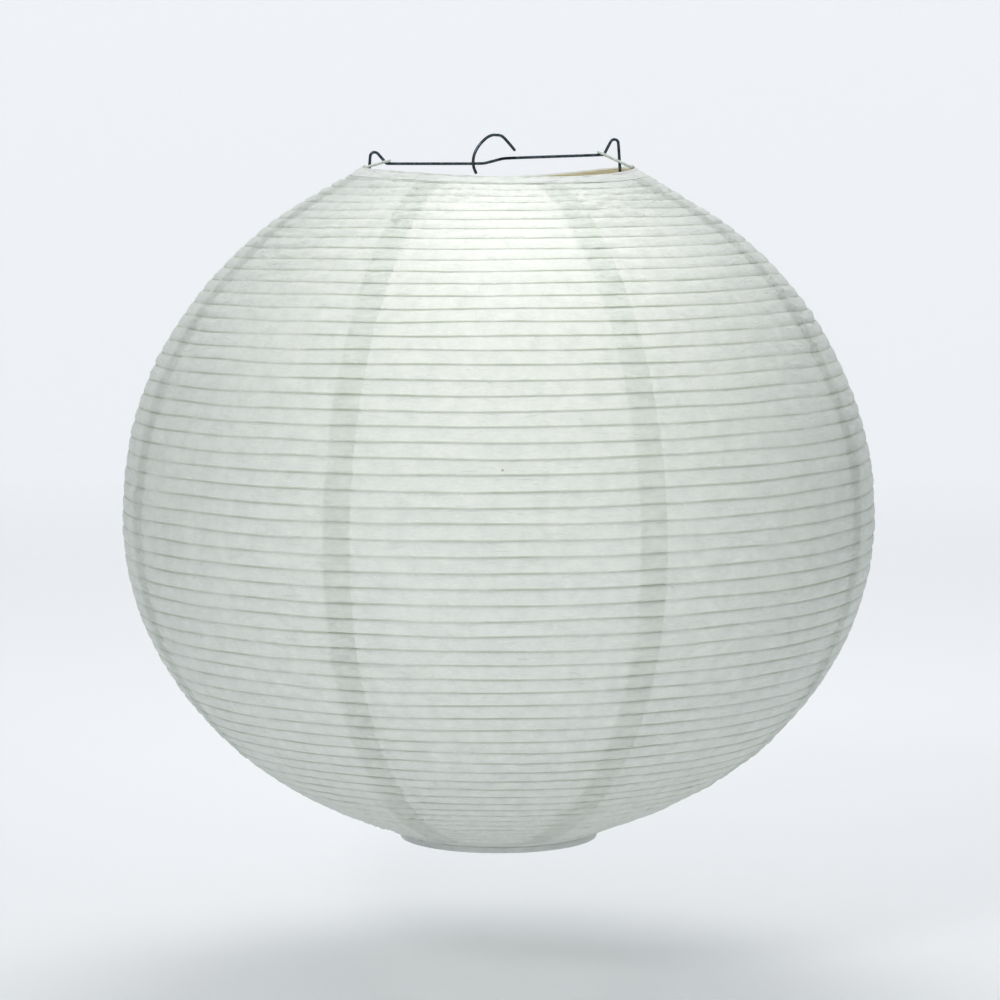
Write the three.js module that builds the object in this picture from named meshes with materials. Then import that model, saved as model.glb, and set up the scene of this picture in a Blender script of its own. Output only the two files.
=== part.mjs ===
// A round paper lantern on a bent wire frame. Millimetres, +Z up.
//
// The origin is the underside of the hanging hook's top, where the hook rests on whatever holds it.
// X runs along the frame's crossbar. The shade is eight paper gores on one spiral bamboo rib, between a
// bamboo hoop at the top and a smaller one at the bottom. Two wire ears on the top hoop pass over the
// frame's pegs and rest on the crossbar. The frame's legs run down inside the bottom hoop.

import * as THREE from "three";

// ---------------------------------------------------------------- driving dimensions

// Shade: half ellipses above and below the equator, each ending in a straight cone at its hoop.
const shade_radius = 250;
const upper_height = 242.4; // upper ellipse, equator to its pole
const lower_height = 218.3; // lower ellipse, equator to its pole
const upper_cone_run = 36.8; // across each cone, from the gores' free edge to the ellipse
const lower_cone_run = 31.1;
const upper_cone_slope = 0.484; // fall over run
const lower_cone_slope = 0.37;
const rim_saddle = 3.2; // the top hoop is pulled up this much at the ears, and droops as much between

const paper = 0.4;
const gore_count = 8;
const first_seam_deg = 24.1; // azimuth of a seam, from +X
const cone_rows = 2;
const ellipse_rows = 8;
const gore_columns = 4;

const gap = 0.3; // between pieces that touch
const running_gap = 0.55; // between a leg and the hoop that slides past it

// Spiral rib
const rib_turns = 59;
const rib_half_section = 0.7;
const rib_end_margin = 7; // along the paper, from each paper edge
const rib_steps_per_turn = 16;
const rib_sides = 4;
const rib_clear = 0.12; // between the rib and the paper's facets where they come closest

// Hoops and the hems over them
const hoop_thickness = 1.2;
const hoop_height = 4;
const top_hoop_facets_per_gore = 8;
const top_hoop_inner = 87.6;
const top_hoop_end_z = -21.5; // its upper edge at the ears
const paper_above_hoop = 1.05; // from the top hoop's edge up to the gores' free edge
const bottom_hoop_inner = 64.1;
const hem_width = 9;
const bottom_hem_clear = 0.3;
const bottom_paper_clear = 0.5; // from the bottom hem's outside to the gores' free edge

// Wire frame
const wire_radius = 1.0;
const left_bar_z = -17.8;
const right_bar_z = -14.2; // where the right half of the bar starts
const right_bar_rise = 2.2; // from there to the right peg
const bar_step_x = -10.0; // the left half ends and the bar steps up
const bar_step_run = 13.5;
const left_peg_inset = 3.8; // from the middle of the top hoop in to each peg's corner
const right_peg_inset = 9.6;
const left_peg_run = 10.4; // from each peg's corner in to the notch beside it
const right_peg_run = 9;
const left_peg_rise = 12.2; // corner of each peg above the notch beside it
const right_peg_rise = 17.4;
const right_leg_inset = 6.6; // the right leg where it passes the top hoop
const shoulder_drop = 11.5; // from the top hoop's edge down to the shoulders
const shoulder_height = 38;
const frame_end_drop = 2.42; // the bottom bar below the bottom hoop's upper edge
const wire_sides = 8;

// Radii of the frame's bends, at the wire's centre
const bar_step_bend = 6;
const notch_bend = 1.6;
const left_peg_bend = 3;
const right_peg_bend = 2.7;
const shoulder_top_bend = 9;
const shoulder_bottom_bend = 12;
const frame_end_bend = 5;
const bend_facet_deg = 24; // the most that one facet of any bend turns

// Hanging hook
const hook_side_gap = 0.35;
const hook_steps = 26;
// Places the hook's centre passes: x, share of the way out to the bar's front, and drop below its crown.
const hook_places = [
  [-14.6, 1, 25.5],
  [-16.4, 1, 21],
  [-16.7, 1, 16.4],
  [-15.4, 0.8, 11.2],
  [-12.6, 0.5, 6.6],
  [-8.6, 0.2, 2.4],
  [-4.6, 0, 0.1],
  [-0.6, 0, 0],
  [2.2, 0, 0.6],
  [6.2, 0, 4.6],
  [11.1, 0, 10.4],
];

// Ears
const ear_wire_radius = 0.85;
const ear_width = 12; // between the centres of its two sides
const left_ear_reach = 2.3; // from the notch in to the ear's end
const right_ear_reach = 3.8;
const ear_sides = 6;
const ear_pin_corner = 1.5;
const ear_tip_corner = 5;

// Thread that ties each ear to the hoop, two turns an ear
const thread_thickness = 0.4;
const thread_width = 2.4;
const thread_side = 3.2; // from the ear's middle to the middle of each thread
const thread_to_paper = 1.25;
const thread_segments = 8; // round each half circle

// ---------------------------------------------------------------- sizes that follow

const degree = Math.PI / 180;
const gore_angle = (2 * Math.PI) / gore_count;
const first_seam = first_seam_deg * degree;
const facets_round = gore_count * gore_columns;
const top_hoop_facets = gore_count * top_hoop_facets_per_gore;

const top_hoop_middle = top_hoop_inner + hoop_thickness / 2;
const top_hoop_mean_z = top_hoop_end_z - rim_saddle;
const bottom_hoop_outer = bottom_hoop_inner + hoop_thickness;

// The gores' free edges clear the ears' threads at the top and the hem's inside at the bottom.
const top_paper_radius = top_hoop_middle + ear_wire_radius + gap + thread_thickness + thread_to_paper;
const bottom_paper_radius = bottom_hoop_outer + bottom_hem_clear + paper + bottom_paper_clear;
const upper_cone_radius = top_paper_radius + upper_cone_run;
const lower_cone_radius = bottom_paper_radius + lower_cone_run;

const left_leg_x = -(top_hoop_inner - running_gap - wire_radius);
const right_leg_x = top_hoop_inner - right_leg_inset;
const lower_leg_x = bottom_hoop_inner - running_gap - wire_radius;
const left_peg_x = -(top_hoop_middle - left_peg_inset);
const right_peg_x = top_hoop_middle - right_peg_inset;
const left_notch_x = left_peg_x + left_peg_run;
const right_notch_x = right_peg_x - right_peg_run;
const left_ear_end_x = left_notch_x + left_ear_reach;
const right_ear_end_x = right_notch_x - right_ear_reach;
const shoulder_top_z = top_hoop_end_z - shoulder_drop;
const shoulder_bottom_z = shoulder_top_z - shoulder_height;

const finishes = {
  paper: { color: 0xeef2ee, roughness: 0.85 },
  hem: { color: 0xf4f5f2, roughness: 0.85 },
  bamboo: { color: 0xd2c9a6, roughness: 0.6 },
  rib: { color: 0xc9c8a4, roughness: 0.6 },
  steel: { color: 0x55606a, roughness: 0.3, metalness: 0.9 },
  ear: { color: 0xdde0de, roughness: 0.45 },
  thread: { color: 0xe9e7de, roughness: 0.9 },
};

const lantern = new THREE.Group();

function addPiece(name, geometry, finish) {
  const mesh = new THREE.Mesh(geometry, new THREE.MeshStandardMaterial(finish));
  mesh.name = name;
  lantern.add(mesh);
  return mesh;
}

// ---------------------------------------------------------------- the shade's shape

// The height on an ellipse at a radius, measured from the equator.
function ellipseHeight(radius, height) {
  return height * Math.sqrt(1 - (radius / shade_radius) ** 2);
}

// The shade hangs from its top hoop, so its heights follow from there down.
const top_paper_z = top_hoop_mean_z + paper_above_hoop;
const upper_cone_z = top_paper_z - upper_cone_run * upper_cone_slope;
const equator_z = upper_cone_z - ellipseHeight(upper_cone_radius, upper_height);
const lower_cone_z = equator_z - ellipseHeight(lower_cone_radius, lower_height);
const bottom_paper_z = lower_cone_z - lower_cone_run * lower_cone_slope;
const bottom_hoop_top = bottom_paper_z - gap;
const frame_bottom_z = bottom_hoop_top - frame_end_drop;

// The paper's outer surface from top edge to bottom edge, as radius and height.
const meridian = new THREE.CurvePath();
meridian.add(
  new THREE.LineCurve(
    new THREE.Vector2(top_paper_radius, top_paper_z),
    new THREE.Vector2(upper_cone_radius, upper_cone_z),
  ),
);
meridian.add(
  new THREE.EllipseCurve(
    0, equator_z, shade_radius, upper_height,
    Math.acos(upper_cone_radius / shade_radius), 0, true,
  ),
);
meridian.add(
  new THREE.EllipseCurve(
    0, equator_z, shade_radius, lower_height,
    0, -Math.acos(lower_cone_radius / shade_radius), true,
  ),
);
meridian.add(
  new THREE.LineCurve(
    new THREE.Vector2(lower_cone_radius, lower_cone_z),
    new THREE.Vector2(bottom_paper_radius, bottom_paper_z),
  ),
);
const meridian_length = meridian.getLength();

// How far the ears' pull lifts a point of the top, falling to nothing where the cone ends.
function saddleLift(radius, height, azimuth) {
  if (height < equator_z) return 0;
  const share = (upper_cone_radius - radius) / (upper_cone_radius - top_hoop_middle);
  return rim_saddle * Math.cos(2 * azimuth) * Math.max(0, share);
}

// A point at a share t of the meridian, at an azimuth, a depth inside the paper's outer surface.
function shadePoint(t, azimuth, depth) {
  const at = meridian.getPoint(t);
  const along = meridian.getTangent(t);
  const radius = at.x + along.y * depth;
  const height = at.y - along.x * depth;
  return new THREE.Vector3(
    radius * Math.cos(azimuth),
    radius * Math.sin(azimuth),
    height + saddleLift(radius, height, azimuth),
  );
}

// The shares of the meridian where the paper's rows of facets meet: every joint of its curves is one.
function rowShares() {
  const shares = [0];
  let start = 0;
  for (const curve of meridian.curves) {
    const length = curve.getLength();
    const rows = curve instanceof THREE.LineCurve ? cone_rows : ellipse_rows;
    for (let row = 1; row <= rows; row += 1) {
      shares.push((start + (length * row) / rows) / meridian_length);
    }
    start += length;
  }
  shares[shares.length - 1] = 1;
  return shares;
}

// How far the flat rows of paper cut inside its true curve.
function rowSag() {
  const shares = rowShares();
  let sag = 0;
  for (let row = 1; row < shares.length; row += 1) {
    const above = meridian.getPoint(shares[row - 1]);
    const below = meridian.getPoint(shares[row]);
    const chord_middle = above.add(below).divideScalar(2);
    const curve_middle = meridian.getPoint((shares[row - 1] + shares[row]) / 2);
    sag = Math.max(sag, chord_middle.distanceTo(curve_middle));
  }
  return sag;
}

// ---------------------------------------------------------------- tools for the shapes

// A closed sheet of even thickness: pointAt(row, column, side) gives its two faces' points.
function sheetSolid(rows, columns, pointAt) {
  const positions = [];
  const index = [];
  const width = columns + 1;
  const face_size = (rows + 1) * width;
  for (let side = 0; side < 2; side += 1) {
    for (let row = 0; row <= rows; row += 1) {
      for (let column = 0; column <= columns; column += 1) {
        positions.push(...pointAt(row, column, side).toArray());
      }
    }
  }
  const at = (row, column, side) => side * face_size + row * width + column;
  const quad = (a, b, c, d) => index.push(a, b, c, a, c, d);
  for (let row = 0; row < rows; row += 1) {
    for (let column = 0; column < columns; column += 1) {
      quad(at(row, column, 0), at(row + 1, column, 0), at(row + 1, column + 1, 0), at(row, column + 1, 0));
      quad(at(row, column, 1), at(row, column + 1, 1), at(row + 1, column + 1, 1), at(row + 1, column, 1));
    }
  }
  for (let row = 0; row < rows; row += 1) {
    quad(at(row, 0, 0), at(row, 0, 1), at(row + 1, 0, 1), at(row + 1, 0, 0));
    quad(at(row + 1, columns, 0), at(row + 1, columns, 1), at(row, columns, 1), at(row, columns, 0));
  }
  for (let column = 0; column < columns; column += 1) {
    quad(at(0, column + 1, 0), at(0, column + 1, 1), at(0, column, 1), at(0, column, 0));
    quad(at(rows, column, 0), at(rows, column, 1), at(rows, column + 1, 1), at(rows, column + 1, 0));
  }
  const geometry = new THREE.BufferGeometry();
  geometry.setAttribute("position", new THREE.Float32BufferAttribute(positions, 3));
  geometry.setIndex(index);
  return geometry;
}

// A ring about Z with the given closed outline of [radius, height], its facets in line with the gores'.
function ringSolid(outline, facets = facets_round) {
  const points = [...outline, outline[0]].map(([radius, height]) => new THREE.Vector2(radius, height));
  const geometry = new THREE.LatheGeometry(points, facets, first_seam + Math.PI / 2, 2 * Math.PI);
  return geometry.rotateX(Math.PI / 2);
}

// Lifts a ring of the top with the ears' pull.
function saddle(geometry) {
  const position = geometry.getAttribute("position");
  for (let i = 0; i < position.count; i += 1) {
    const x = position.getX(i);
    const y = position.getY(i);
    const z = position.getZ(i);
    position.setZ(i, z + saddleLift(Math.hypot(x, y), z, Math.atan2(y, x)));
  }
  return geometry;
}

// A path that passes through every one of its points, with a section square to the bend at each.
class PointPath extends THREE.Curve {
  constructor(points, closed) {
    super();
    this.points = points;
    this.closed = closed;
  }

  getUtoTmapping(u) {
    return u;
  }

  getPoint(t, target = new THREE.Vector3()) {
    const last = this.points.length - 1;
    return target.copy(this.points[Math.round(t * last)]);
  }

  getTangent(t, target = new THREE.Vector3()) {
    const last = this.points.length - 1;
    const here = Math.round(t * last);
    const wrapped = this.closed ? [last - 1, 1] : [0, last];
    const before = this.points[here === 0 ? wrapped[0] : here - 1];
    const after = this.points[here === last ? wrapped[1] : here + 1];
    const into = new THREE.Vector3().subVectors(this.points[here], before).normalize();
    const out = new THREE.Vector3().subVectors(after, this.points[here]).normalize();
    return target.addVectors(into, out).normalize();
  }
}

// A round bar of a few sides along the points. A closed path repeats its first point at the end.
function sweep(points, radius, sides, closed = false) {
  const outline = [];
  for (let side = 0; side < sides; side += 1) {
    const angle = ((side + 0.5) * 2 * Math.PI) / sides;
    outline.push(new THREE.Vector2(radius * Math.cos(angle), radius * Math.sin(angle)));
  }
  const geometry = new THREE.ExtrudeGeometry(new THREE.Shape(outline), {
    steps: points.length - 1,
    extrudePath: new PointPath(points, closed),
  });
  if (!closed) return geometry;
  // A closed path has no ends, so only the group of side faces is kept.
  const sides_group = geometry.groups[1];
  const all = geometry.getAttribute("position").array;
  const kept = all.slice(sides_group.start * 3, (sides_group.start + sides_group.count) * 3);
  const ring = new THREE.BufferGeometry();
  ring.setAttribute("position", new THREE.Float32BufferAttribute(kept, 3));
  return ring;
}

// The centre line of a bent wire: straight runs between corners, each [point, bend radius].
function bentLine(corners, closed = false) {
  const points = [];
  const count = corners.length;
  for (let i = 0; i < count; i += 1) {
    const [corner, radius] = corners[i];
    if (!closed && (i === 0 || i === count - 1)) {
      points.push(corner.clone());
      continue;
    }
    const back = corners[(i - 1 + count) % count][0].clone().sub(corner).normalize();
    const on = corners[(i + 1) % count][0].clone().sub(corner).normalize();
    const half = back.angleTo(on) / 2;
    const centre = back.clone().add(on).normalize().multiplyScalar(radius / Math.sin(half)).add(corner);
    const start = back.clone().multiplyScalar(radius / Math.tan(half)).add(corner).sub(centre);
    const end = on.clone().multiplyScalar(radius / Math.tan(half)).add(corner).sub(centre);
    const turn = Math.PI - 2 * half;
    const steps = Math.max(1, Math.ceil(turn / (bend_facet_deg * degree)));
    for (let step = 0; step <= steps; step += 1) {
      const angle = (turn * step) / steps;
      const from_start = start.clone().multiplyScalar(Math.sin(turn - angle) / Math.sin(turn));
      const from_end = end.clone().multiplyScalar(Math.sin(angle) / Math.sin(turn));
      points.push(from_start.add(from_end).add(centre));
    }
  }
  if (closed) points.push(points[0].clone());
  return points;
}

const inBarPlane = (x, z) => new THREE.Vector3(x, 0, z);

// ---------------------------------------------------------------- paper gores

function gore(number) {
  const shares = rowShares();
  const rows = shares.length - 1;
  const start = first_seam + (number - 1) * gore_angle;
  return sheetSolid(rows, gore_columns, (row, column, side) => {
    const edge = meridian.getPoint(shares[row]).x;
    const trim = gap / 2 / edge;
    const span = gore_angle - 2 * trim;
    const azimuth = start + trim + (span * column) / gore_columns;
    return shadePoint(shares[row], azimuth, side * paper);
  });
}

for (let number = 1; number <= gore_count; number += 1) {
  addPiece(`paper_gore_${number}`, gore(number), finishes.paper);
}

// ---------------------------------------------------------------- spiral rib

// One right-handed spiral inside the paper, at an even spacing along it.
function ribLine() {
  const depth = paper + rib_clear + rowSag() + rib_half_section;
  const steps = rib_turns * rib_steps_per_turn;
  const margin = rib_end_margin / meridian_length;
  const points = [];
  for (let step = 0; step <= steps; step += 1) {
    const t = margin + ((1 - 2 * margin) * step) / steps;
    const azimuth = first_seam - (step * 2 * Math.PI) / rib_steps_per_turn;
    points.push(shadePoint(t, azimuth, depth));
  }
  return points;
}

addPiece("rib_spiral", sweep(ribLine(), rib_half_section, rib_sides), finishes.rib);

// ---------------------------------------------------------------- hoops and hems

function hoopOutline(inner, top) {
  const outer = inner + hoop_thickness;
  return [[inner, top], [inner, top - hoop_height], [outer, top - hoop_height], [outer, top]];
}

// The hem is a strip of paper on the outside of the gores, along the cone at one end of the meridian.
function stripOutline(edge, cone_end) {
  const along = new THREE.Vector2().subVectors(cone_end, edge).normalize();
  const outward = new THREE.Vector2(Math.abs(along.y), Math.sign(edge.y - cone_end.y) * Math.abs(along.x));
  const point = (run, lift) => [
    edge.x + along.x * run + outward.x * lift,
    edge.y + along.y * run + outward.y * lift,
  ];
  return { under: (run) => point(run, gap), over: (run) => point(run, gap + paper) };
}

function topHemOutline() {
  const strip = stripOutline(
    new THREE.Vector2(top_paper_radius, top_paper_z),
    new THREE.Vector2(upper_cone_radius, upper_cone_z),
  );
  return [strip.over(0), strip.under(0), strip.under(hem_width), strip.over(hem_width)];
}

// The bottom hem also stands round the outside of its hoop.
function bottomHemOutline() {
  const strip = stripOutline(
    new THREE.Vector2(bottom_paper_radius, bottom_paper_z),
    new THREE.Vector2(lower_cone_radius, lower_cone_z),
  );
  const inner = bottom_hoop_outer + bottom_hem_clear;
  const outer = inner + paper;
  const shelf = strip.under(0)[1];
  const foot = bottom_hoop_top - hoop_height - bottom_hem_clear;
  return [
    [inner, shelf],
    [inner, foot],
    [outer, foot],
    [outer, strip.over(0)[1]],
    strip.over(hem_width),
    strip.under(hem_width),
    [outer + gap, shelf],
  ];
}

const topHoop = saddle(ringSolid(hoopOutline(top_hoop_inner, top_hoop_mean_z), top_hoop_facets));
addPiece("top_hoop", topHoop, finishes.bamboo);
addPiece("top_hem_band", saddle(ringSolid(topHemOutline())), finishes.hem);

const bottomHoop = ringSolid(hoopOutline(bottom_hoop_inner, bottom_hoop_top));
addPiece("bottom_hoop", bottomHoop, finishes.bamboo);
addPiece("bottom_hem_band", ringSolid(bottomHemOutline()), finishes.hem);

// ---------------------------------------------------------------- wire frame

// The bar's height at an x on its right half.
function rightBarZ(x) {
  const start = bar_step_x + bar_step_run;
  return right_bar_z + (right_bar_rise * (x - start)) / (right_notch_x - start);
}

// One closed wire, from the step in the crossbar round to it again, clockwise seen from the front.
function frameCorners() {
  return [
    [inBarPlane(bar_step_x, left_bar_z), bar_step_bend],
    [inBarPlane(bar_step_x + bar_step_run, right_bar_z), bar_step_bend],
    [inBarPlane(right_notch_x, rightBarZ(right_notch_x)), notch_bend],
    [inBarPlane(right_peg_x, rightBarZ(right_notch_x) + right_peg_rise), right_peg_bend],
    [inBarPlane(right_leg_x, shoulder_top_z), shoulder_top_bend],
    [inBarPlane(lower_leg_x, shoulder_bottom_z), shoulder_bottom_bend],
    [inBarPlane(lower_leg_x, frame_bottom_z), frame_end_bend],
    [inBarPlane(-lower_leg_x, frame_bottom_z), frame_end_bend],
    [inBarPlane(-lower_leg_x, shoulder_bottom_z), shoulder_bottom_bend],
    [inBarPlane(left_leg_x, shoulder_top_z), shoulder_top_bend],
    [inBarPlane(left_peg_x, left_bar_z + left_peg_rise), left_peg_bend],
    [inBarPlane(left_notch_x, left_bar_z), notch_bend],
  ];
}

addPiece(
  "frame_wire",
  sweep(bentLine(frameCorners(), true), wire_radius, wire_sides, true),
  finishes.steel,
);

// ---------------------------------------------------------------- hanging hook

// An open C of the same wire, welded to the front of the crossbar at its left end.
function hookLine() {
  const front = -(2 * wire_radius + hook_side_gap);
  const crown = wire_radius; // the wire's centre above the hanging point
  const points = hook_places.map(([x, out, drop]) => new THREE.Vector3(x, front * out, crown - drop));
  const curve = new THREE.CatmullRomCurve3(points, false, "centripetal");
  return curve.getPoints(hook_steps);
}

addPiece("hanging_hook", sweep(hookLine(), wire_radius, wire_sides), finishes.steel);

// ---------------------------------------------------------------- ears and their threads

const ear_pin_z = top_hoop_end_z + gap + ear_wire_radius;

// The ear is a long ring of wire. One short side is the pin on the hoop, the other rests on the bar.
function earRing(length) {
  const half = ear_width / 2;
  const corner = (x, y, radius) => [new THREE.Vector3(x, y, 0), radius];
  const corners = [
    corner(0, -half, ear_pin_corner),
    corner(length, -half, ear_tip_corner),
    corner(length, half, ear_tip_corner),
    corner(0, half, ear_pin_corner),
  ];
  return sweep(bentLine(corners, true), ear_wire_radius, ear_sides, true);
}

// side is -1 for the left ear and 1 for the right one.
function addEar(name, side, end_x, bar_z) {
  const pin_x = side * top_hoop_middle;
  const run = Math.abs(pin_x - end_x);
  const rise = bar_z + wire_radius + gap + ear_wire_radius - ear_pin_z;
  const ear = addPiece(name, earRing(Math.hypot(run, rise)), finishes.ear);
  ear.position.set(pin_x, 0, ear_pin_z);
  ear.rotation.set(0, -Math.atan2(rise, -side * run), 0);
}

addEar("top_ear_left", -1, left_ear_end_x, left_bar_z);
addEar("top_ear_right", 1, right_ear_end_x, rightBarZ(right_ear_end_x));

// A turn of thread round the ear's pin and the hoop under it: a slot shape with round ends.
function threadRing() {
  const reach = ear_wire_radius + gap;
  const bottom = -(ear_wire_radius + gap + hoop_height + gap);
  const slot = (path, grow) => {
    const r = reach + grow;
    path.absarc(0, 0, r, 0, Math.PI, false);
    path.lineTo(-r, bottom - grow);
    path.lineTo(r, bottom - grow);
    path.closePath();
    return path;
  };
  const shape = slot(new THREE.Shape(), thread_thickness);
  shape.holes.push(slot(new THREE.Path(), 0));
  const options = { depth: thread_width, bevelEnabled: false, curveSegments: thread_segments };
  const geometry = new THREE.ExtrudeGeometry(shape, options);
  return geometry.translate(0, 0, -thread_width / 2).rotateX(Math.PI / 2);
}

for (const [side_name, side] of [["left", -1], ["right", 1]]) {
  for (const [place_name, place] of [["front", -1], ["back", 1]]) {
    const thread = addPiece(`ear_thread_${side_name}_${place_name}`, threadRing(), finishes.thread);
    thread.position.set(side * top_hoop_middle, place * thread_side, ear_pin_z);
  }
}

export default lantern;
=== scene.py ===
# %% [markdown]
# # A round paper lantern on a bent wire frame
#
# This notebook gives the looks to a lantern whose structure is already packed: eight paper gores on one
# spiral bamboo rib, a bamboo hoop and a folded hem at each opening, a bent wire frame with a hook, and two
# wire ears tied to the top hoop. The imported parts are the fixed frame. Each part gets a finer piece that
# stands for it and a finish of its own.

import itertools
import math

import bmesh
import bpy
import numpy as np
from mathutils import Matrix, Vector


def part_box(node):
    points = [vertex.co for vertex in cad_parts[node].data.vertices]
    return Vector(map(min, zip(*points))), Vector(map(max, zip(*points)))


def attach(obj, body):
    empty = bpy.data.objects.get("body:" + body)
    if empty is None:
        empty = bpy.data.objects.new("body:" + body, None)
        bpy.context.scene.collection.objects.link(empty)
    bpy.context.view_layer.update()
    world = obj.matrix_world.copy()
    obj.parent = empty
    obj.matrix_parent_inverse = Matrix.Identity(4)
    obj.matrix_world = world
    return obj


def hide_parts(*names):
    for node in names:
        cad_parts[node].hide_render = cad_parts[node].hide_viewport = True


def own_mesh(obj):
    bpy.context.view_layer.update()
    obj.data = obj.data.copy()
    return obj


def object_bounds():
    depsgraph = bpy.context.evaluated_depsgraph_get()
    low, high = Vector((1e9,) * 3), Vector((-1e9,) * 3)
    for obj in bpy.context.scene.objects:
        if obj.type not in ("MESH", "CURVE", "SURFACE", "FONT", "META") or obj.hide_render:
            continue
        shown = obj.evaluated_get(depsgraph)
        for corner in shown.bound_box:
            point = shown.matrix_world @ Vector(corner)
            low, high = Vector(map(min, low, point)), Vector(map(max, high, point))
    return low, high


MM = 0.001
TURN = 2 * math.pi

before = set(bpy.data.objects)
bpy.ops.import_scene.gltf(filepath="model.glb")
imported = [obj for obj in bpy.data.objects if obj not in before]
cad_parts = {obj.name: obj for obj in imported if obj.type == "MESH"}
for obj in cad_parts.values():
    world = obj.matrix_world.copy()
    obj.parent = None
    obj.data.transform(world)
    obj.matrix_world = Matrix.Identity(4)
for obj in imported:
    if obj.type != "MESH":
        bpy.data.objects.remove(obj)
cad_low, cad_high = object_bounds()
scene = bpy.context.scene
print("packed box, mm:", [round((high - low) / MM, 1) for low, high in zip(cad_low, cad_high)])

# %% [markdown]
# ## Helpers for finishes
#
# Every finish is a small network of nodes. One function turns the hex codes that a maker would write down
# into the linear numbers that the renderer works in. Another adds one node with its settings and links, so
# that a finish reads as a list of what it is made of.

# %% Colour and node helpers
def hex_colour(code):
    """An sRGB hex code as linear red, green, blue and alpha."""
    channels = [int(code[i:i + 2], 16) / 255 for i in (1, 3, 5)]
    linear = [c / 12.92 if c <= 0.04045 else ((c + 0.055) / 1.055) ** 2.4 for c in channels]
    return (*linear, 1.0)


def add_node(tree, kind, settings=None, inputs=None):
    """Adds one node. An input's value is a plain value, or the output socket that feeds it."""
    node = tree.nodes.new(kind)
    for name, value in (settings or {}).items():
        setattr(node, name, value)
    for name, value in (inputs or {}).items():
        if isinstance(value, bpy.types.NodeSocket):
            tree.links.new(value, node.inputs[name])
        else:
            node.inputs[name].default_value = value
    return node


# A mix node has sockets of one name for each kind of value. These are the places of its colour sockets.
MIX_FACTOR = 0
MIX_FIRST = 6
MIX_SECOND = 7
MIX_RESULT = 2


def new_finish(name):
    """An empty material, with its node tree and its output node."""
    material = bpy.data.materials.new(name)
    material.use_nodes = True
    material.node_tree.nodes.clear()
    output = add_node(material.node_tree, "ShaderNodeOutputMaterial")
    return material, material.node_tree, output


def per_metre(millimetres):
    """The scale that makes a noise pattern repeat about once in so many millimetres."""
    return 1 / (millimetres * MM)


# %% [markdown]
# ## The shape of the shade
#
# A lantern shade is a surface of revolution that never comes out quite true. The outline runs down a short
# cone from the top hoop, round two half ellipses that share the equator, and in on a second cone to the
# bottom hoop. The paper's position is worked out from three numbers: the distance along the outline, the
# azimuth, and the depth inside the outer surface. The rib, the gores and the hems all ask the same
# function, so they always lie on each other.

# %% Sizes of the shade
SHADE_RADIUS = 250 * MM
UPPER_HEIGHT = 242.4 * MM
LOWER_HEIGHT = 218.3 * MM
TOP_PAPER_RADIUS = 91 * MM
BOTTOM_PAPER_RADIUS = 66.5 * MM
UPPER_CONE_RADIUS = 127.8 * MM
LOWER_CONE_RADIUS = 97.6 * MM
UPPER_CONE_SLOPE = 0.484
LOWER_CONE_SLOPE = 0.37
TOP_HOOP_INNER = 87.6 * MM
BOTTOM_HOOP_INNER = 64.1 * MM
HOOP_THICKNESS = 1.2 * MM
HOOP_HEIGHT = 4 * MM
TOP_HOOP_MIDDLE = TOP_HOOP_INNER + HOOP_THICKNESS / 2
BOTTOM_PAPER_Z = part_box("paper_gore_1")[0].z

GORE_COUNT = 8
GORE_ANGLE = TURN / GORE_COUNT
FIRST_SEAM = math.radians(24.1)

RIB_TURNS = 59
RIB_MARGIN = 7 * MM
RIB_SECTION = 0.6 * MM
RIB_DEPTH = 2.0 * MM

# %% The outline, evenly spaced along its length
ELLIPSE_POINTS = 900
OUTLINE_POINTS = 3000


def ellipse_height(radius, height):
    return height * math.sqrt(1 - (radius / SHADE_RADIUS) ** 2)


LOWER_CONE_Z = BOTTOM_PAPER_Z + (LOWER_CONE_RADIUS - BOTTOM_PAPER_RADIUS) * LOWER_CONE_SLOPE
EQUATOR_Z = LOWER_CONE_Z + ellipse_height(LOWER_CONE_RADIUS, LOWER_HEIGHT)
UPPER_CONE_Z = EQUATOR_Z + ellipse_height(UPPER_CONE_RADIUS, UPPER_HEIGHT)
TOP_PAPER_Z = UPPER_CONE_Z + (UPPER_CONE_RADIUS - TOP_PAPER_RADIUS) * UPPER_CONE_SLOPE


def outline():
    """Distance along the paper, radius and height, from the top edge to the bottom edge."""
    upper = np.linspace(math.acos(UPPER_CONE_RADIUS / SHADE_RADIUS), 0, ELLIPSE_POINTS)
    lower = np.linspace(0, math.acos(LOWER_CONE_RADIUS / SHADE_RADIUS), ELLIPSE_POINTS)[1:]
    radius = np.concatenate([
        [TOP_PAPER_RADIUS], SHADE_RADIUS * np.cos(upper), SHADE_RADIUS * np.cos(lower), [BOTTOM_PAPER_RADIUS],
    ])
    height = np.concatenate([
        [TOP_PAPER_Z], EQUATOR_Z + UPPER_HEIGHT * np.sin(upper),
        EQUATOR_Z - LOWER_HEIGHT * np.sin(lower), [BOTTOM_PAPER_Z],
    ])
    steps = np.hypot(np.diff(radius), np.diff(height))
    length = np.concatenate([[0], np.cumsum(steps)])
    even = np.linspace(0, length[-1], OUTLINE_POINTS)
    return even, np.interp(even, length, radius), np.interp(even, length, height)


ALONG, RADIUS, HEIGHT = outline()
PAPER_LENGTH = ALONG[-1]
OUTWARD_RADIUS = -np.gradient(HEIGHT, ALONG)
OUTWARD_HEIGHT = np.gradient(RADIUS, ALONG)
print("paper from edge to edge:", round(PAPER_LENGTH / MM), "mm; equator at", round(EQUATOR_Z / MM, 1))

# %% [markdown]
# Crumpled paper needs noise that looks the same from every side of the lantern. It is sampled in a space
# made of the two horizontal directions and the distance along the paper, so that it closes on itself round
# the lantern and can still be stretched along the ribs. The lattice is seeded, so each run is the same.

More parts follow.
